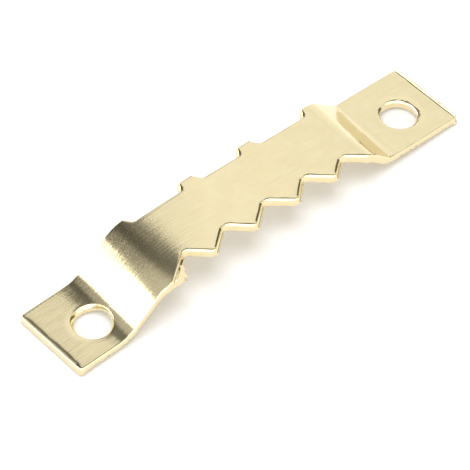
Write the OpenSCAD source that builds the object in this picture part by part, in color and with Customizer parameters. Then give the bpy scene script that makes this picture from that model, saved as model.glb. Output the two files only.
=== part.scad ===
// Sawtooth picture hanger: one strip of sheet metal, punched flat and then bent into a low bridge.
// X runs along the strip. Y runs across it, with the teeth on the -Y edge. Z points out of the
// surface that the feet are nailed to, and the origin is on that surface, under the strip's middle.

/* [Strip] */
// Length of the strip, from end to end
strip_l = 44; // [38:0.5:60]
// Width of the strip at its feet
strip_w = 8; // [6:0.1:14]
// Thickness of the sheet
sheet_t = 1; // [0.6:0.05:1.4]
// Radius of the feet's corners, seen from the front
foot_corner_r = 0.35; // [0.1:0.05:1.5]

/* [Left end] */
// Length of the left foot, from its end to the fold
left_foot_l = 5.4; // [4.5:0.1:8]
// Distance that the left ramp covers along the strip
left_ramp_run = 4.8; // [2.5:0.1:8]
// Height that the left ramp climbs
left_rise = 4.25; // [2:0.05:6]
// Inside radius of the fold between the left foot and its ramp
left_foot_bend_r = 3.2; // [0.2:0.1:4]
// Inside radius of the fold between the left ramp and the bridge
left_crown_bend_r = 5; // [0.2:0.1:6]

/* [Right end] */
// Length of the right foot, from its end to the fold
right_foot_l = 7.5; // [5.5:0.1:9]
// Distance that the right ramp covers along the strip
right_ramp_run = 2.6; // [2:0.1:8]
// Height that the right ramp climbs
right_rise = 2.9; // [2:0.05:6]
// Inside radius of the fold between the right foot and its ramp
right_foot_bend_r = 0.9; // [0.2:0.1:2]
// Inside radius of the fold between the right ramp and the bridge
right_crown_bend_r = 1.5; // [0.2:0.1:3]

/* [Teeth] */
// Number of notches, with a tooth tip at both sides of each
notch_count = 5; // [1:1:5]
// Distance from one notch to the next
notch_pitch = 4.66; // [3:0.02:5]
// Depth of a notch, to where its two flanks would meet
notch_depth = 2; // [0.8:0.05:2.6]
// Width of the last notch, beside the short ramp
end_notch_w = 4; // [2.5:0.1:5]
// Depth of the last notch, to where its two flanks would meet
end_notch_depth = 1.65; // [0.8:0.05:2.6]
// Radius at the bottom of a notch
notch_root_r = 0.8; // [0.1:0.05:1.2]
// Radius at the tip of a tooth
tooth_tip_r = 0.3; // [0.1:0.05:0.8]

/* [Back edge] */
// Length of the recess in the back edge, measured at half its depth
recess_l = 20.4; // [14:0.2:22]
// Depth of the recess
recess_depth = 0.85; // [0.3:0.05:1.6]
// Number of nibs left standing in the recess
nib_count = 2; // [0:1:2]
// Distance from one nib to the next
nib_pitch = 6.8; // [4:0.1:9]
// Width of a nib at its top
nib_top_w = 1.5; // [0.6:0.1:2.5]
// Distance that each side of a nib or recess leans along the strip
side_lean = 0.6; // [0.1:0.05:0.8]
// Radius at the top corners of the nibs and of the recess
nib_top_r = 0.25; // [0.05:0.05:0.5]
// Radius where a side meets the floor of the recess
nib_foot_r = 0.4; // [0.05:0.05:0.8]

/* [Nail holes] */
// Diameter of a nail hole
hole_d = 3.5; // [2:0.1:4.4]
// Distance from the end of a foot to the centre of its hole
hole_inset = 4; // [3:0.1:4.4]
// Distance from the middle of the strip to the holes' centres, towards the teeth
hole_offset = 0.55; // [0:0.05:1]

/* [Hidden] */

// Largest turn between two neighbouring points of a rounded corner, in degrees
arc_step = 4;
// Share of a side that the rounding of one of its corners may take up
side_share = 0.49;
// Distance that a cutting shape runs past the sheet
overrun = 1;
// Number of points round a hole
hole_fn = 64;

left_fold_x = -strip_l / 2 + left_foot_l;
left_crown_x = left_fold_x + left_ramp_run;
right_fold_x = strip_l / 2 - right_foot_l;
right_crown_x = right_fold_x - right_ramp_run;
teeth_y = -strip_w / 2;
back_y = strip_w / 2;
recess_y = back_y - recess_depth;

// A vector of length 1 that points the same way
function unit(v) = v / norm(v);

// A vector turned by a quarter turn to the left
function to_left(v) = [-v.y, v.x];

// A vector turned to the left by an angle
function turned(v, a) = [v.x * cos(a) - v.y * sin(a), v.x * sin(a) + v.y * cos(a)];

// Points that round the corner q, between p and s, with radius r, or with less on a short side
function round_corner(p, q, s, r) =
    let (
        turn = atan2(cross(q - p, s - q), (q - p) * (s - q)),
        half_tan = abs(tan(turn / 2)),
        setback = min(r * half_tan, side_share * min(norm(p - q), norm(s - q))),
        start = q + unit(p - q) * setback,
        inward = unit(to_left(q - p)) * sign(turn) * setback / half_tan,
        steps = ceil(abs(turn) / arc_step)
    )
    [for (i = [0 : steps]) start + inward - turned(inward, turn * i / steps)];

// A closed outline, from a list of corners [x, y, radius]
function rounded(corners) =
    let (n = len(corners))
    [
        for (i = [0 : n - 1])
            let (
                p = corners[(i + n - 1) % n],
                q = corners[i],
                s = corners[(i + 1) % n]
            )
            each q.z > 0 ? round_corner([p.x, p.y], [q.x, q.y], [s.x, s.y], q.z) : [[q.x, q.y]]
    ];

// The point on the back of the sheet that lies behind the fold q of its front
function behind(p, q, s) =
    let (
        a = to_left(unit(q - p)),
        b = to_left(unit(s - q))
    )
    q - sheet_t * (a + b) / (1 + a * b);

// Front face of the sheet in the side view, as [x, z], from the left end to the right end
front_path = [
    [-strip_l / 2, sheet_t],
    [left_fold_x, sheet_t],
    [left_crown_x, sheet_t + left_rise],
    [right_crown_x, sheet_t + right_rise],
    [right_fold_x, sheet_t],
    [strip_l / 2, sheet_t]
];
// Inside radius of each of the four folds
bend_r = [left_foot_bend_r, left_crown_bend_r, right_crown_bend_r, right_foot_bend_r];
// Thickness that each fold's front radius adds to its inside radius
front_extra = [0, sheet_t, sheet_t, 0];

// Side view of the bent sheet: along its front, then home along its back
function sheet_profile() =
    let (last = len(front_path) - 1)
    concat(
        [[front_path[0].x, front_path[0].y, 0]],
        [
            for (i = [1 : last - 1])
                [front_path[i].x, front_path[i].y, bend_r[i - 1] + front_extra[i - 1]]
        ],
        [[front_path[last].x, front_path[last].y, 0], [front_path[last].x, 0, 0]],
        [
            for (i = [last - 1 : -1 : 1])
                let (b = behind(front_path[i - 1], front_path[i], front_path[i + 1]))
                [b.x, b.y, bend_r[i - 1] + sheet_t - front_extra[i - 1]]
        ],
        [[front_path[0].x, 0, 0]]
    );

// Left tip, width and depth of a notch: the last one is smaller than the others
function notch_x(i) = (i - notch_count / 2) * notch_pitch;
function notch_w(i) = i < notch_count - 1 ? notch_pitch : end_notch_w;
function notch_d(i) = i < notch_count - 1 ? notch_depth : end_notch_depth;

// The toothed edge from left to right: a tip before each notch, and one after the last
function tooth_row() = [
    for (i = [0 : notch_count - 1])
        each [
            [notch_x(i), teeth_y, tooth_tip_r],
            [notch_x(i) + notch_w(i) / 2, teeth_y + notch_d(i), notch_root_r]
        ],
    [notch_x(notch_count - 1) + end_notch_w, teeth_y, tooth_tip_r]
];

// One nib of the back edge, from its right foot to its left foot
function nib(centre_x) = [
    [centre_x + nib_top_w / 2 + side_lean, recess_y, nib_foot_r],
    [centre_x + nib_top_w / 2, back_y, nib_top_r],
    [centre_x - nib_top_w / 2, back_y, nib_top_r],
    [centre_x - nib_top_w / 2 - side_lean, recess_y, nib_foot_r]
];

// The back edge from right to left: one long recess with the nibs standing in it
function back_row() = concat(
    [[(recess_l + side_lean) / 2, back_y, nib_top_r], [(recess_l - side_lean) / 2, recess_y, nib_foot_r]],
    [for (i = [nib_count - 1 : -1 : 0]) each nib((i - (nib_count - 1) / 2) * nib_pitch)],
    [[-(recess_l - side_lean) / 2, recess_y, nib_foot_r], [-(recess_l + side_lean) / 2, back_y, nib_top_r]]
);

// Outline of the punched blank, seen from the front
function blank_outline() = concat(
    [[-strip_l / 2, teeth_y, foot_corner_r]],
    tooth_row(),
    [[strip_l / 2, teeth_y, foot_corner_r], [strip_l / 2, back_y, foot_corner_r]],
    back_row(),
    [[-strip_l / 2, back_y, foot_corner_r]]
);

// The sheet with its four folds, wider than the blank
module bent_sheet() {
    rotate([90, 0, 0])
        linear_extrude(height = strip_w + 2 * overrun, center = true)
            polygon(rounded(sheet_profile()));
}

// Everything that the punch leaves standing, seen from the front
module punched_blank() {
    translate([0, 0, -overrun])
        linear_extrude(height = sheet_t + max(left_rise, right_rise) + 2 * overrun)
            polygon(rounded(blank_outline()));
}

// One nail hole in each foot
module nail_holes() {
    for (side = [-1, 1])
        translate([side * (strip_l / 2 - hole_inset), -hole_offset, -overrun])
            cylinder(d = hole_d, h = sheet_t + 2 * overrun, $fn = hole_fn);
}

// The whole hanger, as it lies on its feet
module hanger_plate() {
    color("palegoldenrod")
        difference() {
            intersection() {
                bent_sheet();
                punched_blank();
            }
            nail_holes();
        }
}

hanger_plate();
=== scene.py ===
"""Looks of the sawtooth picture hanger: one strip of brass-plated steel, punched flat and then bent.

The CAD solid of the strip is replaced by a finer mesh of the same strip. It is built as the press
builds it: a flat blank with rolled front edges and sheared cut faces, laid on the bent middle
surface, so that every cut stays square to the sheet. Sizes are in millimetres, and the mesh is
scaled to metres at the end. Where this piece differs a little from the even hanger of the CAD
source, the sizes here are its own.
"""
import math
import bpy
import numpy as np
from mathutils import Matrix, Vector, noise
from mathutils.geometry import delaunay_2d_cdt


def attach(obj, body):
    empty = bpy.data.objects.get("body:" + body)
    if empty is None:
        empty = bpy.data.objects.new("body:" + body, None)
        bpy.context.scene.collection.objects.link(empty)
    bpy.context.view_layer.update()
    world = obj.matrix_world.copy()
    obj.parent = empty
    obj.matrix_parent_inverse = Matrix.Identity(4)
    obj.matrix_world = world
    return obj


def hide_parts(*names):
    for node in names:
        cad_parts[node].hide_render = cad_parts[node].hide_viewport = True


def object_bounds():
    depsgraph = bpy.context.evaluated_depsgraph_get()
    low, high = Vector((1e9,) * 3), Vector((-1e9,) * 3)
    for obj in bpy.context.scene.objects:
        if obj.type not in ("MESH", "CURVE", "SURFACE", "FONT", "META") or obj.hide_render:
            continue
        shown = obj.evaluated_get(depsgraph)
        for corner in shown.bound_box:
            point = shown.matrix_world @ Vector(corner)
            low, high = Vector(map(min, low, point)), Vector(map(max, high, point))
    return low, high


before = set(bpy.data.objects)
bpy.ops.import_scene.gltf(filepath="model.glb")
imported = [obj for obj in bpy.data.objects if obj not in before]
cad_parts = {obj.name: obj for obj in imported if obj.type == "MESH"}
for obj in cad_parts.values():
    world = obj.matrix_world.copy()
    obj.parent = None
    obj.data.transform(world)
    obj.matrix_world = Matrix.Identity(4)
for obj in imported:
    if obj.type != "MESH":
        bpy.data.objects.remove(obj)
cad_box = [list(corner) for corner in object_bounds()]
MM = 0.001

# Sizes of the strip: its length and width are those of the CAD solid, to a thousandth of a millimetre
STRIP_L, STRIP_W, _ = (round((high - low) / MM, 3) for low, high in zip(*cad_box))
SHEET_T = 1.0
HALF_L, HALF_W, HALF_T = STRIP_L / 2, STRIP_W / 2, SHEET_T / 2
FOOT_CORNER_R = 0.35

# Corners (x, z, radius) of the strip in side view: x and z are on its front face, the radius is on its
# middle surface. The folds run a little askew and the crown hangs down at the far edge, so the near
# edge and the far edge each have their own
CROWN_X, FOLD_X = 11.1, 13.85
LEFT_END, RIGHT_END = (-HALF_L, SHEET_T, 0.0), (HALF_L, SHEET_T, 0.0)
NEAR_SIDE = (LEFT_END, (-18.2, SHEET_T, 10.0), (-16.6, 1.044, 3.3), (-12.43, 4.775, 5.05),
             (-9.3, 5.102, 10.8), (-4.0, 4.8, 60.0), (CROWN_X, 3.945, 1.2), (FOLD_X, SHEET_T, 1.6),
             RIGHT_END)
FAR_SIDE = (LEFT_END, (-17.6, SHEET_T, 10.0), (-16.1, 1.092, 2.8), (-11.8, 4.6, 3.9),
            (-9.6, 4.83, 12.0), (-4.0, 4.8, 60.0), (11.4, 3.9, 1.6), (14.3, SHEET_T, 1.2),
            RIGHT_END)
# Slope by which the right foot tips up towards its fold
FOOT_TIP = math.tan(math.radians(3.3))
# The left crown droops at the teeth: how far, where, and how far along the strip it reaches
DROOP, DROOP_X, DROOP_REACH = 0.2, -12.3, 2.4

# Toothed edge: Y of its tips and roots before rounding, and how far each stands off its even spacing
NOTCHES, PITCH, END_NOTCH_W = 5, 4.66, 4.0
TIP_Y, ROOT_Y, END_ROOT_Y = -4.19, -2.25, -2.61
TIP_R, ROOT_R = 0.6, 0.62
TIP_OFF = (-0.27, -0.1, -0.07, 0.11, -0.14, -0.17)
ROOT_OFF = (0.21, 0.15, 0.11, 0.02, -0.06)
# Run over which the edge comes in from the outermost tips to the feet's width
TIP_RUN = 0.8

# Recessed edge with its nibs, and how far the nibs and its right end stand off their places
RECESS_L, RECESS_DEPTH, LEAN = 20.4, 0.85, 0.6
NIBS, NIB_PITCH, NIB_W = 2, 6.8, 1.5
NIB_TOP_R, NIB_FOOT_R = 0.25, 0.4
NIB_OFF, RECESS_OFF = (-0.13, -0.2), -0.45

# Nail holes: width, centres (x, y), and the dimple around each
HOLE_D, HOLES_AT = 3.3, ((-17.77, -0.6), (18.1, -0.45))
DIMPLE_W, DIMPLE_DEPTH = 0.7, 0.04

# Roll-over of the front edges: how far it reaches in on a clean cut, on a torn one, on the torn one of
# the first notch, on the mill's long edges, on the two ends and on the two holes
ROLL_CUT, ROLL_TORN, ROLL_FIRST, ROLL_LONG = 0.28, 0.42, 0.12, 0.2
ROLL_LEFT_END, ROLL_RIGHT_END, ROLL_HOLES = 0.55, 0.22, (0.28, 0.16)
# The left end's roll-over gets narrower by this for each millimetre towards the far edge
ROLL_TAPER = 0.012
# How far the roll-over goes down: a share of its reach and a part of its own, on cuts and on both ends
DROP_SHARE, DROP_MORE = 1.25, 0.08
DROP_SHARE_LEFT_END, DROP_RIGHT_END = 0.65, 0.15
# Shape of a rolled edge: 1 is a quarter of an ellipse, 2 a straight chamfer
ROLL_SHAPE, HOLE_SHAPE = 1.0, 1.75
# How far the back edges are rounded off, inwards and upwards
UNDER_CUT, UNDER_LONG = (0.28, 0.38), (0.5, 0.6)

# Torn flanks face right on the teeth's side: (start, run) of the X and of the -Y of their normal over
# which tearing grows, and the Y below which they lie
TORN_RIGHT, TORN_DOWN, TORN_BELOW_Y = (0.2, 0.4), (0.2, 0.3), -2.0
# How far their lower part leans out, and how much further on the flank of the first notch
FLARE, FLARE_FIRST = 0.14, 0.1
# Ledge on a torn cut face: (share of the way down, share of the flare)
LEDGE = ((0.25, 0.0), (0.48, 0.08), (0.56, 0.75), (0.78, 0.9))
# What counts as the flank of the first notch: reach around its line, blur of that, and where it starts
FIRST_REACH, FIRST_BLUR, FIRST_FROM_X = 0.5, 0.2, -12.3
# Flap of burr on that flank: how far it stands out and how far it hangs down as a share of that, and,
# as shares of the flank, its middle, its reach to both sides and the blur of that
FLAP, FLAP_HANG = 0.95, 0.8
FLAP_AT, FLAP_REACH, FLAP_BLUR = 0.42, 0.375, 0.3
# The nibs' left sides and the recess's right end roll over as torn flanks do: (start, run) of the -X of
# their normal, and where they lie
NIB_LEFT, NIB_FROM_Y, NIB_WITHIN_X = (0.3, 0.3), 2.5, 10.6
# Height of the burr that stands up from the front of the right end
END_BURR = 0.26

# Steps of the mesh: lengths along an edge and inside a face, numbers over a roll-over and a back edge
EDGE_STEP, FILL_STEP = 0.12, 0.22
ROLL_STEPS, BACK_STEPS = 9, 4
# Noise layers: (amount, width of the features, seed)
WAVES = ((0.004, 2.6, 3.0),)
RAGS = ((0.5, 0.25, 40.0), (0.35, 0.7, 41.0))
FLAP_RAGS = ((1.0, 0.17, 42.0),)
FLARE_WAVES = ((0.06, 0.5, 43.0),)
# Mean of the rags, and how the burr of the right end and the flap follow them: (own part, share of the
# rags) and limits
RAG_MEAN = 0.6
END_FOLLOWS, END_LIMITS = (0.4, 0.7), (0.55, 1.25)
FLAP_FOLLOWS, FLAP_LIMITS = (0.45, 0.6), (0.3, 1.3)


def unit(v):
    return v / np.linalg.norm(v)


def to_left(v):
    """A flat vector turned by a quarter turn to the left."""
    return np.array([-v[1], v[0]])


def smooth(t):
    """0 up to 0, 1 from 1 on, with a smooth rise between."""
    t = np.clip(t, 0, 1)
    return t * t * (3 - 2 * t)


def rise(value, start, run):
    """0 below start, 1 from start + run on, with a smooth rise between."""
    return smooth((value - start) / run)


def near(distance, reach, blur):
    """0 from reach on, 1 where the distance is less than that by blur, with a smooth fall between."""
    return smooth((reach - distance) / blur)


# The bent middle surface

# Step of the table that holds it in side view
LINE_STEP = 0.01


def side_line(corners):
    """The middle surface in side view as a fine table: length along it, x, z, angle, 1/radius."""
    front = [np.array(corner[:2]) for corner in corners]
    radii = [corner[2] for corner in corners]
    behind = np.array([0, HALF_T])
    folds = [front[0] - behind]
    for before, here, after in zip(front, front[1:], front[2:]):
        a, b = to_left(unit(here - before)), to_left(unit(after - here))
        folds.append(here - HALF_T * (a + b) / (1 + a @ b))
    folds.append(front[-1] - behind)
    angles = [math.atan2(*(b - a)[::-1]) for a, b in zip(folds, folds[1:])]
    turns = [0.0] + [b - a for a, b in zip(angles, angles[1:])] + [0.0]
    trims = [r * math.tan(abs(turn) / 2) for r, turn in zip(radii, turns)]
    rows = []
    at, length = folds[0], 0.0
    for i, angle in enumerate(angles):
        along = np.array([math.cos(angle), math.sin(angle)])
        run = np.linalg.norm(folds[i + 1] - folds[i]) - trims[i] - trims[i + 1]
        n = max(1, math.ceil(run / LINE_STEP))
        rows += [(length + run * k / n, *(at + along * run * k / n), angle, 0.0) for k in range(n)]
        at, length = at + along * run, length + run
        turn, radius = turns[i + 1], math.copysign(radii[i + 1], turns[i + 1])
        if turn:
            arc = abs(radius * turn)
            centre = at + radius * to_left(along)
            n = max(1, math.ceil(arc / LINE_STEP))
            for k in range(n + 1):
                a = angle + turn * k / n
                at = centre + radius * np.array([math.sin(a), -math.cos(a)])
                if k < n:
                    rows.append((length + arc * k / n, *at, a, 1 / radius))
            length += arc
    rows.append((length, *at, angles[-1], 0.0))
    return np.array(rows).T


LINE_S, LINE_X, NEAR_Z, NEAR_ANGLE, NEAR_BEND = side_line(NEAR_SIDE)
_, FAR_X, FAR_Z, FAR_ANGLE, _ = side_line(FAR_SIDE)
# How bent the sheet is along the strip, from 0 to 1, blurred over a millimetre; from a radius of 3 mm
# down it counts in full
BLUR_L, FULL_BEND_R = 1.0, 3
BLUR_ROWS = round(BLUR_L / LINE_STEP)
CURVE = np.convolve(np.abs(NEAR_BEND), np.ones(BLUR_ROWS) / BLUR_ROWS, "same")
CURVE = np.minimum(CURVE * FULL_BEND_R, 1)


def to_s(x):
    """Length along the strip of a place given by its x."""
    return np.interp(x, LINE_X, LINE_S)


def lay(s, y, w):
    """Points of the bent strip: s along it, y across it, w from its back to its front."""
    x = np.interp(s, LINE_S, LINE_X)
    far = y / STRIP_W + 0.5
    z = np.interp(s, LINE_S, NEAR_Z) * (1 - far) + np.interp(x, FAR_X, FAR_Z) * far
    near_slope, far_slope = np.tan(np.interp(s, LINE_S, NEAR_ANGLE)), np.tan(np.interp(x, FAR_X, FAR_ANGLE))
    angle = np.arctan(near_slope * (1 - far) + far_slope * far)
    up_ramp = np.clip(1 - (FOLD_X - x) / (FOLD_X - CROWN_X), 0, 1)
    z += FOOT_TIP * np.where(x > FOLD_X, HALF_L - x, (HALF_L - FOLD_X) * up_ramp)
    z -= DROOP * np.clip(-2 * y / STRIP_W, 0, 1) ** 2 * (1 - smooth(np.abs(x - DROOP_X) / DROOP_REACH))
    out = w - HALF_T
    return np.column_stack([x - np.sin(angle) * out, y, z + np.cos(angle) * out])


# Outline of the flat blank

def rounded(corners, step_deg=6.0):
    """Closed outline through corners (x, y, radius), counter-clockwise."""
    radii = [corner[2] for corner in corners]
    places = np.array(corners)[:, :2]
    neighbours = zip(np.roll(places, 1, axis=0), places, np.roll(places, -1, axis=0), radii)
    out = []
    for before, here, after, r in neighbours:
        a, b = unit(here - before), unit(after - here)
        turn = math.atan2(a[0] * b[1] - a[1] * b[0], a @ b)
        start = here - a * r * abs(math.tan(turn / 2))
        centre = start + math.copysign(r, turn) * to_left(a)
        arm = start - centre
        n = max(2, math.ceil(math.degrees(abs(turn)) / step_deg))
        for angle in turn * np.arange(n + 1) / n:
            out.append(centre + arm * math.cos(angle) + to_left(arm) * math.sin(angle))
    return np.array(out)


def tooth_row():
    """Corners of the toothed edge from left to right; the last notch is smaller."""
    x = -NOTCHES / 2 * PITCH
    out = [(x + TIP_OFF[0], TIP_Y, TIP_R)]
    for i in range(NOTCHES):
        width, root_y = (END_NOTCH_W, END_ROOT_Y) if i == NOTCHES - 1 else (PITCH, ROOT_Y)
        out.append((x + width / 2 + ROOT_OFF[i], root_y, ROOT_R))
        x += width
        out.append((x + TIP_OFF[i + 1], TIP_Y, TIP_R))
    return out


def back_row():
    """Corners of the recessed edge from right to left."""
    low = HALF_W - RECESS_DEPTH
    end = RECESS_L / 2 + RECESS_OFF
    out = [(end + LEAN / 2, HALF_W, NIB_TOP_R), (end - LEAN / 2, low, NIB_FOOT_R)]
    for i in reversed(range(NIBS)):
        mid = (i - (NIBS - 1) / 2) * NIB_PITCH + NIB_OFF[i]
        half = NIB_W / 2
        out += [(mid + half + LEAN, low, NIB_FOOT_R), (mid + half, HALF_W, NIB_TOP_R),
                (mid - half, HALF_W, NIB_TOP_R), (mid - half - LEAN, low, NIB_FOOT_R)]
    return out + [(-(RECESS_L - LEAN) / 2, low, NIB_FOOT_R), (-(RECESS_L + LEAN) / 2, HALF_W, NIB_TOP_R)]


def blank_corners(teeth):
    """Corners of the whole blank, counter-clockwise from the left foot's near corner."""
    before = (teeth[0][0] - TIP_RUN, -HALF_W, TIP_R)
    after = (teeth[-1][0] + TIP_RUN, -HALF_W, TIP_R)
    near_left, near_right = ((x, -HALF_W, FOOT_CORNER_R) for x in (-HALF_L, HALF_L))
    far_left, far_right = ((x, HALF_W, FOOT_CORNER_R) for x in (-HALF_L, HALF_L))
    return [near_left, before, *teeth, after, near_right, far_right, *back_row(), far_left]


def resampled(loop, step):
    """Closed loop with no side longer than step; its own corners are kept."""
    out = []
    for a, b in zip(loop, np.roll(loop, -1, axis=0)):
        n = max(1, math.ceil(np.linalg.norm(b - a) / step))
        out += [a + (b - a) * k / n for k in range(n)]
    return np.array(out)


def outward(loop):
    """Unit normals of a counter-clockwise loop, pointing out of it."""
    along = np.roll(loop, -1, axis=0) - np.roll(loop, 1, axis=0)
    along /= np.linalg.norm(along, axis=1)[:, None]
    return np.column_stack([along[:, 1], -along[:, 0]])


# Largest inset as a share of the outline's own radius, its largest step from one point to the next, and
# over how many points that step is kept
ROOM_SHARE, ROOM_STEP, ROOM_PASSES = 0.72, 0.04, 4


def room(loop, out_dir):
    """Largest inset of each point, up to 1 mm, that doesn't fold over at a tight outer corner."""
    turn = np.roll(out_dir, -1, axis=0) - np.roll(out_dir, 1, axis=0)
    span = np.roll(loop, -1, axis=0) - np.roll(loop, 1, axis=0)
    bend = np.sum(turn * span, axis=1) / np.sum(span ** 2, axis=1)
    limit = ROOM_SHARE / np.maximum(bend, ROOM_SHARE)
    for _ in range(ROOM_PASSES):
        limit = np.minimum(limit, np.minimum(np.roll(limit, 1), np.roll(limit, -1)) + ROOM_STEP)
    return limit


def wobble(points, width, seed):
    """Smooth noise of about +-1 at points of the blank, with features of the given width."""
    return np.array([noise.noise(Vector((p[0] / width, p[1] / width, seed))) for p in points])


def layered(points, mean, layers):
    """Smooth noise about a mean, from layers (amount, width of the features, seed)."""
    out = mean
    for amount, width, seed in layers:
        out = out + amount * wobble(points, width, seed)
    return out


HOLES = [(to_s(x), y) for x, y in HOLES_AT]


def relief(points):
    """Height of the front face over a true one: dimples around the holes and slight waves."""
    out = layered(points, 0.0, WAVES)
    flat = 1 - np.interp(points[:, 0], LINE_S, CURVE)
    for hole in HOLES:
        rim = np.linalg.norm(points - hole, axis=1) - HOLE_D / 2
        out -= DIMPLE_DEPTH * flat * (1 - smooth(rim / DIMPLE_W))
    return out


def in_loop(points, loop):
    """Whether each point is inside a closed loop."""
    out = np.zeros(len(points), bool)
    for a, b in zip(loop, np.roll(loop, -1, axis=0)):
        if a[1] == b[1]:
            continue
        spans = (a[1] > points[:, 1]) != (b[1] > points[:, 1])
        out ^= spans & (points[:, 0] < (b[0] - a[0]) * (points[:, 1] - a[1]) / (b[1] - a[1]) + a[0])
    return out


def inside(points, loops):
    """Whether each point is inside the first loop and outside the others."""
    keep = in_loop(points, loops[0])
    for hole in loops[1:]:
        keep &= ~in_loop(points, hole)
    return keep


# How much denser the grid is in a fold, and how far it stays clear of every edge
FOLD_DENSITY, GRID_CLEAR = 1.6, 0.7 * EDGE_STEP
# Points of the blank nearer than this would be merged
MERGE_DISTANCE = 1e-7


def inner_grid(loops):
    """Grid points inside the outer loop and outside the holes, clear of all; closer in the folds."""
    density = np.cumsum(np.append(0, np.diff(LINE_S)) * (1 + FOLD_DENSITY * CURVE))
    stations = np.interp(np.arange(FILL_STEP, density[-1], FILL_STEP), density, LINE_S)
    rows = np.arange(-HALF_W + FILL_STEP, HALF_W, FILL_STEP)
    grid_s, grid_y = np.meshgrid(stations, rows)
    grid_y = grid_y + np.where(np.arange(len(stations)) % 2, FILL_STEP / 2, 0.0)
    grid = np.column_stack([grid_s.ravel(), grid_y.ravel()])
    grid = grid[inside(grid, loops)]
    edge = np.vstack(loops)
    clear = [np.min(np.sum((edge - p) ** 2, axis=1)) > GRID_CLEAR ** 2 for p in grid]
    return grid[np.array(clear)]


class Strip:
    """Collects the blank's points (s, y, w), its faces and how much each point is a cut face."""

    def __init__(self):
        self.points, self.cut, self.faces = [], [], []
        self.count = 0

    def add(self, sy, w, cut):
        n = len(sy)
        self.points.append(np.column_stack([sy, np.broadcast_to(w, n)]))
        self.cut.append(np.broadcast_to(cut, n).astype(float))
        self.count += n
        return np.arange(self.count - n, self.count)

    def wall(self, rings):
        """Quads between neighbouring closed rings of equal length."""
        for a, b in zip(rings, rings[1:]):
            self.faces += [tuple(map(int, q)) for q in zip(a, b, np.roll(b, -1), np.roll(a, -1))]

    def fill(self, rings, w_of, up):
        """Triangles inside the first ring and outside the others, with inner points on a grid."""
        points = np.vstack(self.points)
        loops = [points[ring][:, :2] for ring in rings]
        grid = inner_grid(loops)
        ids = np.concatenate(rings + [self.add(grid, w_of(grid), 0.0)])
        flat = np.vstack(loops + [grid])
        edges, base = [], 0
        for n in map(len, loops):
            edges += [(base + k, base + (k + 1) % n) for k in range(n)]
            base += n
        found = delaunay_2d_cdt([Vector(p) for p in flat], edges, [], 0, MERGE_DISTANCE)
        triangles, origin = found[2], found[3]
        source = [merged[0] for merged in origin]
        triangles = np.array([[source[k] for k in triangle] for triangle in triangles])
        for triangle in triangles[inside(flat[triangles].mean(axis=1), loops)]:
            a, b, c = map(int, ids[triangle])
            self.faces.append((a, b, c) if up else (a, c, b))


# Sections of the edges

# Noise on an edge: widths of its fine and its coarse features, and what the coarse ones add to or take
# from the roll-over and the rounding of the back, as a share of it
FINE_W, COARSE_W = 0.3, 1.1
ROLL_WOBBLE, UNDER_WOBBLE = 0.2, 0.3
# How far a cut face stands back from the outline, and how far its fine noise moves it
CUT_INSET = 0.02
# A burr of this size leaves nothing of the rounded back edge
SHARP_BURR = 0.1
# Share of the roll-over after which it starts to look like a cut face, and over which it becomes one
CUT_FROM, CUT_OVER = 0.45, 0.5
# How much less each ring of the back edge looks like a cut face than the one before
CUT_FADE = 0.2
# Share of a burr's reach that is drawn back in at its foot
BURR_TUCK = 0.3
# The last ring lies this far inside the rounding of the back, so that the back's shading stays flat
BACK_MARGIN = 0.2


def edge_rings(strip, loop, out_dir, seed, shape, roll, drop, under, low, lip=0.0, flare=0.0, burr=0.0):
    """Section of a sheared edge, front to back: rolled, bulging, then rounded off or burred.

    roll and under are how far the rounding of the front and of the back reaches in. drop and low are
    how far down and up they reach, and shape is the form of the front's. lip is how high a burr stands
    on the front, flare how far the lower part of the cut leans out, and burr how far a burr stands out
    at its foot. Each of these sizes is one number, or one for each point of the loop.
    """
    fine, coarse = wobble(loop, FINE_W, seed), wobble(loop, COARSE_W, seed + 5)
    most = room(loop, out_dir)
    roll = np.minimum(roll * (1 + ROLL_WOBBLE * coarse), most)
    under = np.minimum(under * (1 + UNDER_WOBBLE * coarse), most) * (1 - smooth(burr / SHARP_BURR))
    rings = []

    def ring(inset, w, cut):
        sy = loop - out_dir * np.minimum(inset, most)[:, None]
        sy[:, 1] = np.clip(sy[:, 1], -HALF_W, HALF_W)
        rings.append(strip.add(sy, w + relief(sy) * smooth(np.broadcast_to(w, len(loop)) / SHEET_T), cut))

    for k in range(ROLL_STEPS + 1):
        a = math.pi / 2 * k / ROLL_STEPS
        ring(roll * (1 - math.sin(a) ** shape),
             SHEET_T - drop * (1 - max(math.cos(a), 0) ** shape) + lip * math.sin(2 * a) ** 2,
             rise(k / ROLL_STEPS, CUT_FROM, CUT_OVER))
    # Torn metal starts with a ledge halfway down
    for share, out in LEDGE:
        ring(CUT_INSET + CUT_INSET * fine - flare * out, (SHEET_T - drop) * (1 - share) + low * share, 1.0)
    for k in range(BACK_STEPS + 1):
        a = math.pi / 2 * k / BACK_STEPS
        reach = burr * math.sin(a) * (1 - BURR_TUCK * math.sin(a))
        ring(CUT_INSET + under * (1 - math.cos(a)) - flare - reach,
             low * (1 - math.sin(a)) - FLAP_HANG * burr * math.sin(a), 1.0 - CUT_FADE * k)
    ring(np.minimum(under + BACK_MARGIN, most), 0.0, 0.0)
    strip.wall(rings)
    return rings[0], rings[-1]


# A point is on an end face if its normal has this much X and it lies this close to the end
END_FACING, END_NEAR = 0.9, 0.05
# A point is on one of the mill's long edges if its normal has this much Y, it lies this close to the
# side, and it lies beyond this x, next to the punched stretches. The last number says how many of its
# neighbours to both sides the blur of that takes in
MILL_FACING, MILL_NEAR, MILL_FROM_X, MILL_BLUR = 0.999, 0.01, 10.5, 4


def at_end(plan, out_dir, side):
    """Whether each point is on the face of the right end, or of the left one where side is -1."""
    return (side * out_dir[:, 0] > END_FACING) & (side * plan[:, 0] > HALF_L - END_NEAR)


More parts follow.
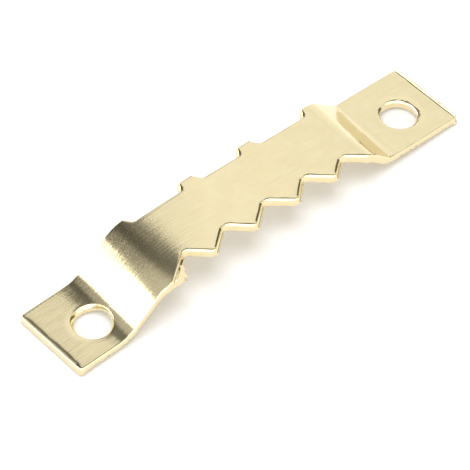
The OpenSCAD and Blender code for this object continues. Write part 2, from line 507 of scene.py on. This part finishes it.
def on_mill_edge(plan, out_dir):
    """From 0 to 1: how much each point belongs to the mill's long edges, blurred along the outline."""
    mill = np.abs(out_dir[:, 1]) > MILL_FACING
    mill &= (np.abs(plan[:, 1]) > HALF_W - MILL_NEAR) & (np.abs(plan[:, 0]) > MILL_FROM_X)
    padded = np.concatenate([mill[-MILL_BLUR:], mill, mill[:MILL_BLUR]]).astype(float)
    taken_in = 2 * MILL_BLUR + 1
    return np.convolve(padded, np.ones(taken_in) / taken_in, "valid")


# Seeds of the noise on the outer edge and on the first hole's edge
OUTER_SEED, HOLE_SEED = 1.0, 20.0


def along_flank(points, a, b):
    """Share of the way from a to b at which each point lies, and its distance off that line."""
    a, b = np.array(a), np.array(b)
    share = (points - a) @ (b - a) / np.sum((b - a) ** 2)
    off = np.linalg.norm(points - a - np.clip(share, 0, 1)[:, None] * (b - a), axis=1)
    return share, off


def mixed(a, b, share):
    """a where share is 0, b where it is 1."""
    return a + (b - a) * share


def outer_edge(strip):
    """The edge around the blank: the ring of its front and the ring of its back."""
    teeth = tooth_row()
    plan = resampled(rounded(blank_corners(teeth)), EDGE_STEP)
    loop = np.column_stack([to_s(plan[:, 0]), plan[:, 1]])
    out_dir = outward(loop)
    mill = on_mill_edge(plan, out_dir)
    left_end, right_end = (at_end(plan, out_dir, side) for side in (-1, 1))
    # The right end was sheared from behind, so its burr stands up from the front
    ragged = layered(loop, RAG_MEAN, RAGS)
    lip = END_BURR * right_end * np.clip(END_FOLLOWS[0] + END_FOLLOWS[1] * ragged, *END_LIMITS)
    # Torn flanks lean out at the back, the first notch's most, where a ragged flap of burr hangs on
    torn = rise(out_dir[:, 0], *TORN_RIGHT) * rise(-out_dir[:, 1], *TORN_DOWN) * (plan[:, 1] < TORN_BELOW_Y)
    share, off = along_flank(plan, teeth[0][:2], teeth[1][:2])
    first = near(off, FIRST_REACH, FIRST_BLUR) * (plan[:, 0] > FIRST_FROM_X)
    flare = torn * layered(loop, FLARE, FLARE_WAVES) + FLARE_FIRST * first * torn
    rags = layered(loop, FLAP_FOLLOWS[0] + FLAP_FOLLOWS[1] * ragged, FLAP_RAGS)
    flap = FLAP * first * near(np.abs(share - FLAP_AT), FLAP_REACH, FLAP_BLUR) * np.clip(rags, *FLAP_LIMITS)
    on_nibs = (plan[:, 1] > NIB_FROM_Y) * (np.abs(plan[:, 0]) < NIB_WITHIN_X)
    nib_side = rise(-out_dir[:, 0], *NIB_LEFT) * on_nibs
    roll = mixed(ROLL_CUT, ROLL_LONG, mill) + (ROLL_TORN - ROLL_CUT) * np.maximum(torn, nib_side)
    roll = np.where(left_end, ROLL_LEFT_END - ROLL_TAPER * (plan[:, 1] + HALF_W), roll)
    roll = mixed(np.where(right_end, ROLL_RIGHT_END, roll), ROLL_FIRST, first * torn)
    drop = np.where(left_end, DROP_SHARE_LEFT_END * roll, DROP_SHARE * roll + DROP_MORE)
    drop = np.where(right_end, DROP_RIGHT_END, drop)
    under, low = (mixed(cut, long, mill) for cut, long in zip(UNDER_CUT, UNDER_LONG))
    return edge_rings(strip, loop, out_dir, OUTER_SEED, ROLL_SHAPE, roll, drop, under, low, lip, flare, flap)


def hole_edge(strip, centre, roll, seed):
    """The edge of one nail hole: the ring of its front and the ring of its back."""
    n = round(math.pi * HOLE_D / EDGE_STEP)
    angle = -2 * math.pi * np.arange(n) / n
    arm = np.column_stack([np.cos(angle), np.sin(angle)])
    return edge_rings(strip, centre + arm * HOLE_D / 2, -arm, seed, HOLE_SHAPE, roll, roll, *UNDER_CUT)


def build_strip():
    strip = Strip()
    rings = [outer_edge(strip)]
    for k, (centre, roll) in enumerate(zip(HOLES, ROLL_HOLES)):
        rings.append(hole_edge(strip, centre, roll, HOLE_SEED + k))
    strip.fill([front for front, _ in rings], lambda p: SHEET_T + relief(p), True)
    strip.fill([back for _, back in rings], lambda p: 0.0, False)
    return strip


# The plating is dull, with painted shade, in the left folds only: the most that it is up to the first x, and
# from the second on
DULL_SHADE_X, DULL_SHADE_MOST = (-16, -14), (0.3, 0.6)
# Millimetres of the strip in one unit of its texture coordinates
UV_UNIT = 10


def strip_object():
    strip = build_strip()
    flat = np.vstack(strip.points)
    mesh = bpy.data.meshes.new("hanger_strip")
    mesh.from_pydata((lay(*flat.T) * MM).tolist(), [], strip.faces)
    mesh.validate()
    # Where the dull specks and their painted shade go: the left folds, by how bent the sheet is there
    dull_shade = np.minimum(CURVE, np.interp(LINE_X, DULL_SHADE_X, DULL_SHADE_MOST))
    bend = np.interp(flat[:, 0], LINE_S, np.where(LINE_X < 0, dull_shade, 0))
    for name, values in (("cut_face", np.concatenate(strip.cut)), ("bend", bend)):
        mesh.attributes.new(name, "FLOAT", "POINT").data.foreach_set("value", values)
    uv = mesh.uv_layers.new(name="along_strip")
    corner_verts = np.empty(len(mesh.loops), int)
    mesh.loops.foreach_get("vertex_index", corner_verts)
    uv.data.foreach_set("uv", (flat[corner_verts, :2] / UV_UNIT).ravel())
    mesh.polygons.foreach_set("use_smooth", [True] * len(mesh.polygons))
    obj = bpy.data.objects.new("hanger_strip", mesh)
    bpy.context.scene.collection.objects.link(obj)
    return obj


class Nodes:
    """Short hand for building a node tree."""

    def __init__(self, tree):
        self.tree = tree
        tree.nodes.clear()

    def add(self, kind, inputs=None, **settings):
        node = self.tree.nodes.new(kind)
        for key, value in settings.items():
            setattr(node, key, value)
        for key, value in (inputs or {}).items():
            socket = node.inputs[key]
            if isinstance(value, bpy.types.NodeSocket):
                self.tree.links.new(value, socket)
            else:
                socket.default_value = value
        return node

    def math(self, operation, *values):
        return self.add("ShaderNodeMath", dict(enumerate(values)), operation=operation).outputs[0]

    def vector(self, operation, *values, output="Vector"):
        node = self.add("ShaderNodeVectorMath", dict(enumerate(values)), operation=operation)
        return node.outputs[output]

    def scaled(self, vector, factor):
        inputs = {"Vector": vector, "Scale": factor}
        return self.add("ShaderNodeVectorMath", inputs, operation="SCALE").outputs[0]

    def map(self, value, start, end, at_start, at_end):
        """at_start where the value is start, at_end where it is end, a straight line between, and level
        beyond them."""
        inputs = {"Value": value, "From Min": start, "From Max": end, "To Min": at_start, "To Max": at_end}
        return self.add("ShaderNodeMapRange", inputs).outputs["Result"]

    def noise(self, vector, scale, detail=3.0, roughness=0.6):
        """Outputs of a noise: Fac for its value, Color for three values of their own."""
        inputs = {"Vector": vector, "Scale": scale, "Detail": detail, "Roughness": roughness}
        return self.add("ShaderNodeTexNoise", inputs).outputs

    def ramp(self, factor, stops):
        """Grey levels or colours at places from 0 to 1."""
        node = self.add("ShaderNodeValToRGB", {"Fac": factor})
        elements = node.color_ramp.elements
        while len(elements) < len(stops):
            elements.new(0.5)
        for element, (place, colour) in zip(elements, stops):
            element.position = place
            element.color = (*colour, 1) if isinstance(colour, tuple) else (colour, colour, colour, 1)
        return node.outputs["Color"]

    def mix(self, factor, a, b):
        """Colour a where the factor is 0, b where it is 1."""
        return self.add("ShaderNodeMix", {0: factor, 6: a, 7: b}, data_type="RGBA").outputs[2]


# Plating: the darker and the paler tone of its face and of its cut edges, and the dark tone of its dull
# specks, which also paints shade in the left folds
FACE_TONES = ((0.35, (0.925, 0.8, 0.485)), (0.65, (0.965, 0.845, 0.54)))
CUT_TONES = ((0.35, (0.84, 0.71, 0.42)), (0.65, (0.9, 0.78, 0.5)))
DULL_SHADE_TONE = (0.3, 0.25, 0.14, 1)
DULL_SHADE_STOPS = ((0.36, 0.75), (0.6, 0.0))
# How the dull specks and their painted shade grow across the strip: texture Y at its two places, and the
# share at each
DULL_SHADE_ACROSS = (-0.35, 0.35, 0.2, 2.0)
# Scale of the plating's noise: its lines along and across the strip, its clouds and its specks
LINE_SCALE, CLOUD_SCALE, SPECK_SCALE = (3.0, 70.0, 1.0), 6.0, 65.0
# Shares of lines and clouds in the tone
LINE_TONE, CLOUD_TONE = 0.2, 0.8
# Roughness of the plating, and what lines and folds add to it
ROUGH, ROUGH_LINES, ROUGH_FOLDS = 0.1, 0.06, 0.12
# How far a line tips the surface, how grainy the plating is, and how much more so in folds and cuts
LINE_TIP, GRAIN, GRAIN_MORE = 0.15, 0.02, 0.2


def brass_plating():
    mat = bpy.data.materials.new("brass_plating")
    mat.use_nodes = True
    n = Nodes(mat.node_tree)
    uv = n.add("ShaderNodeUVMap", uv_map="along_strip").outputs["UV"]
    cut = n.add("ShaderNodeAttribute", attribute_name="cut_face").outputs["Fac"]
    bend = n.add("ShaderNodeAttribute", attribute_name="bend").outputs["Fac"]
    # Lines of the rolled stock run along the strip, a tenth of a millimetre wide
    lines = n.noise(n.vector("MULTIPLY", uv, LINE_SCALE), 1.0)["Fac"]
    cloud = n.noise(uv, CLOUD_SCALE, detail=5.0)["Fac"]
    speck = n.noise(uv, SPECK_SCALE, detail=2.0, roughness=0.7)
    tone = n.math("ADD", n.math("MULTIPLY", lines, LINE_TONE), n.math("MULTIPLY", cloud, CLOUD_TONE))
    face = n.ramp(tone, FACE_TONES)
    edge = n.ramp(speck["Fac"], CUT_TONES)
    # Specks of dull plating in the folds, more of them towards the recessed edge; their dark tone also
    # paints shade in these folds
    across = n.add("ShaderNodeSeparateXYZ", {"Vector": uv}).outputs["Y"]
    dull_shade = n.math("MULTIPLY", bend, n.ramp(speck["Fac"], DULL_SHADE_STOPS))
    dull_shade = n.math("MULTIPLY", dull_shade, n.map(across, *DULL_SHADE_ACROSS))
    colour = n.mix(cut, n.mix(dull_shade, face, DULL_SHADE_TONE), edge)
    rough = n.math("ADD", n.math("MULTIPLY", bend, ROUGH_FOLDS), ROUGH)
    rough = n.math("ADD", n.math("MULTIPLY", lines, ROUGH_LINES), rough)
    tangent = n.add("ShaderNodeTangent", direction_type="UV_MAP", uv_map="along_strip").outputs["Tangent"]
    # Each line tips the surface a little along the strip; where the sheet is bent or cut it is grainy
    tip = n.math("MULTIPLY", n.math("SUBTRACT", lines, 0.5), LINE_TIP)
    grain = n.vector("SUBTRACT", speck["Color"], (0.5, 0.5, 0.5))
    amount = n.math("ADD", n.math("MULTIPLY", n.math("MAXIMUM", bend, cut), GRAIN_MORE), GRAIN)
    normal = n.add("ShaderNodeNewGeometry").outputs["Normal"]
    normal = n.vector("ADD", normal, n.scaled(tangent, tip))
    normal = n.vector("NORMALIZE", n.vector("ADD", normal, n.scaled(grain, amount)))
    bsdf = n.add("ShaderNodeBsdfPrincipled", {"Base Color": colour, "Metallic": 1.0, "Roughness": rough,
                                              "Anisotropic": 0.4, "Anisotropic Rotation": 0.25,
                                              "Normal": normal, "Tangent": tangent})
    n.add("ShaderNodeOutputMaterial", {"Surface": bsdf.outputs["BSDF"]})
    return mat


# Floor, light and camera

# Half the floor's side and how far it lies below the feet, in metres
FLOOR_HALF, FLOOR_DROP = 1.5, 0.00002
# Colour of the paper, and the white that it gives off by itself
PAPER, PAPER_GLOW = (0.85, 0.85, 0.86, 1), 0.2
# Far from the lamp it gives off more: distances in metres from the strip, and what is added at each
FAR_GLOW = (0.06, 0.6, 0.0, 0.38)


def floor():
    """White paper that keeps the strip's shadow; part of its white is its own, to the eye and to metal."""
    mesh = bpy.data.meshes.new("floor")
    r = FLOOR_HALF
    mesh.from_pydata([(-r, -r, 0), (r, -r, 0), (r, r, 0), (-r, r, 0)], [], [(0, 1, 2, 3)])
    obj = bpy.data.objects.new("floor", mesh)
    bpy.context.scene.collection.objects.link(obj)
    obj.location.z = -FLOOR_DROP
    mat = bpy.data.materials.new("floor_paper")
    mat.use_nodes = True
    n = Nodes(mat.node_tree)
    rays = n.add("ShaderNodeLightPath").outputs
    seen = n.math("MAXIMUM", rays["Is Camera Ray"], rays["Is Glossy Ray"])
    seen = n.math("MAXIMUM", seen, rays["Is Transmission Ray"])
    paper = n.add("ShaderNodeBsdfDiffuse", {"Color": PAPER}).outputs[0]
    # Far from the lamp the paper would look dim in the metal
    place = n.add("ShaderNodeNewGeometry").outputs["Position"]
    far_glow = n.map(n.vector("LENGTH", place, output="Value"), *FAR_GLOW)
    strength = n.math("MULTIPLY", seen, n.math("ADD", far_glow, PAPER_GLOW))
    glow = n.add("ShaderNodeEmission", {"Strength": strength}).outputs[0]
    both = n.add("ShaderNodeAddShader", {0: paper, 1: glow}).outputs[0]
    n.add("ShaderNodeOutputMaterial", {"Surface": both})
    mesh.materials.append(mat)


# Brightness of the room over the lean of a ray, in degrees from straight up towards +X: the white room
# with its window on the left and the dark gap overhead, and then the room right of the gap
LEFT_SIDE = ((-90, 1.0), (-78, 1.0), (-70, 3.0), (-47.5, 3.0), (-45.5, 0.42), (-42, 0.32), (-36, 0.24),
             (-26, 0.15), (0, 0.08), (90, 0.08))
RIGHT_SIDE = ((-90, 0.0), (-20, 0.0), (5, 0.13), (11, 0.19), (15, 0.24), (18, 0.3), (21, 0.5),
              (24, 0.76), (27, 0.87), (33, 0.95), (38.5, 1.0), (41, 0.91), (43, 0.88), (47, 0.92),
              (60, 0.95), (78, 1.0), (90, 1.06))
# How that changes with the ray's Y: (Y at two places, value at each). The gap's least brightness, and
# two shifts in degrees of the room right of it, one at its far side and one at its near side
GAP_LEAST = (0.6, 0.5, 0.07, 0.2)
FAR_SHIFT, NEAR_SHIFT = (0.505, 0.565, 0.0, 10.0), (0.35, -0.05, 0.0, 16.0)
# A grey card in the near part of the gap's left side: its brightness, and where it is over the ray's Y
# and over its lean
CARD_LEVEL, CARD_ACROSS = 0.6, (0.6, 0.53, 0.0, 1.0)
CARD = ((-46, 0.0), (-45, 1.0), (-20, 1.0), (-8, 0.0))
# Two lights in front, two dark cards on the right and one behind: (brightness, direction, degrees of
# the even core, degrees of the rim)
PATCHES = ((2.4, (-0.45, -0.65, 0.6), 24, 30), (1.8, (0.15, -0.78, 0.55), 20, 27),
           (0.12, (0.95, -0.15, 0.28), 14, 20), (0.12, (0.84, 0.02, 0.54), 10, 15),
           (0.15, (0.42, 0.86, 0.27), 8, 16))
# Metal seen in metal is a little dimmer: number of mirrored rays at two places, and share at each
MIRRORED = (1.0, 2.0, 1.0, 0.86)
# What the floor gets from the room: an even, weak and warm light
FLOOR_LIGHT, FLOOR_TINT = 0.5, (1.0, 0.93, 0.84, 1)


def studio():
    """What the strip mirrors: a white room, a bright window low on the left, a soft front light and a
    dark gap overhead. The eye sees plain white, and the floor gets a weak even light from it."""
    world = bpy.data.worlds.new("studio")
    bpy.context.scene.world = world
    world.use_nodes = True
    n = Nodes(world.node_tree)
    ray = n.add("ShaderNodeTexCoord").outputs["Generated"]
    parts = n.add("ShaderNodeSeparateXYZ", {"Vector": ray}).outputs
    lean = n.math("DEGREES", n.math("ARCTAN2", parts["X"], n.math("ABSOLUTE", parts["Z"])))

    def profile(angle, stops):
        """Values over an angle in degrees, from stops (degrees, value)."""
        top = max(value for _, value in stops)
        shares = [(degrees / 180 + 0.5, value / top) for degrees, value in stops]
        place = n.math("ADD", n.math("DIVIDE", angle, 180.0), 0.5)
        return n.math("MULTIPLY", n.ramp(place, shares), top)

    def over_y(places_and_values):
        """Values over the ray's Y."""
        return n.map(parts["Y"], *places_and_values)

    def spot(toward, core, rim):
        """1 within core degrees of a direction, 0 beyond rim degrees."""
        toward = tuple(Vector(toward).normalized())
        closeness = n.vector("DOT_PRODUCT", ray, toward, output="Value")
        return n.map(closeness, math.cos(math.radians(rim)), math.cos(math.radians(core)), 0.0, 1.0)

    def blend(level, target, share):
        """level where share is 0, target where it is 1."""
        return n.math("ADD", level, n.math("MULTIPLY", n.math("SUBTRACT", target, level), share))

    level = profile(lean, LEFT_SIDE)
    # The gap is darkest at the far side, and its right edge runs askew
    level = n.math("MAXIMUM", level, over_y(GAP_LEAST))
    shift = n.math("ADD", over_y(FAR_SHIFT), over_y(NEAR_SHIFT))
    level = n.math("MAXIMUM", level, profile(n.math("SUBTRACT", lean, shift), RIGHT_SIDE))
    card = n.math("MULTIPLY", over_y(CARD_ACROSS), profile(lean, CARD))
    level = blend(level, CARD_LEVEL, card)
    for brightness, toward, core, rim in PATCHES:
        level = blend(level, brightness, spot(toward, core, rim))
    rays = n.add("ShaderNodeLightPath").outputs
    level = n.math("MULTIPLY", level, n.map(rays["Glossy Depth"], *MIRRORED))
    diffuse = n.math("MINIMUM", rays["Diffuse Depth"], 1.0)
    level = blend(level, FLOOR_LIGHT, diffuse)
    level = blend(level, 1.0, rays["Is Camera Ray"])
    tint = n.mix(diffuse, (1, 1, 1, 1), FLOOR_TINT)
    background = n.add("ShaderNodeBackground", {"Color": tint, "Strength": level}).outputs[0]
    n.add("ShaderNodeOutputWorld", {"Surface": background})


# The lamp's size and distance in metres, its power in watts, its tint and where it hangs
LAMP_SIZE, LAMP_DISTANCE, LAMP_POWER = 0.4, 0.6, 2.3
LAMP_TINT, LAMP_TOWARD = (0.95, 0.98, 1.0), (-0.15, -0.1, 0.98)


def overhead():
    """A soft lamp overhead, for the floor's shadow only."""
    light = bpy.data.lights.new("overhead", "AREA")
    light.shape = "SQUARE"
    light.size = LAMP_SIZE
    light.energy = LAMP_POWER
    light.color = LAMP_TINT
    obj = bpy.data.objects.new("overhead", light)
    bpy.context.scene.collection.objects.link(obj)
    toward = Vector(LAMP_TOWARD).normalized()
    obj.location = toward * LAMP_DISTANCE
    obj.rotation_euler = toward.to_track_quat("Z", "Y").to_euler()
    obj.visible_glossy = False


# Camera of the photo: its place and the point that it looks at, lens and sensor, all in mm, and its roll
# in degrees
CAMERA_AT, CAMERA_TARGET = (-126.851, -133.054, 206.812), (-2.9173, -1.9289, 2.0)
LENS, SENSOR_W, CAMERA_ROLL = 244.36, 36.0, 1.5926
# Nearest and furthest distance that it sees, in metres
CLIP_NEAR, CLIP_FAR = 0.01, 10.0


def camera():
    data = bpy.data.cameras.new("camera")
    data.sensor_width, data.lens = SENSOR_W, LENS
    data.clip_start, data.clip_end = CLIP_NEAR, CLIP_FAR
    obj = bpy.data.objects.new("camera", data)
    bpy.context.scene.collection.objects.link(obj)
    place, target = Vector(CAMERA_AT) * MM, Vector(CAMERA_TARGET) * MM
    aim = (target - place).to_track_quat("-Z", "Y").to_matrix()
    obj.location = place
    obj.rotation_euler = (aim @ Matrix.Rotation(math.radians(CAMERA_ROLL), 3, "Z")).to_euler()
    bpy.context.scene.camera = obj


strip = strip_object()
strip.data.materials.append(brass_plating())
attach(strip, "root")
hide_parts("hanger_plate")
floor()
studio()
overhead()
camera()
bpy.context.scene.view_settings.view_transform = "Standard"
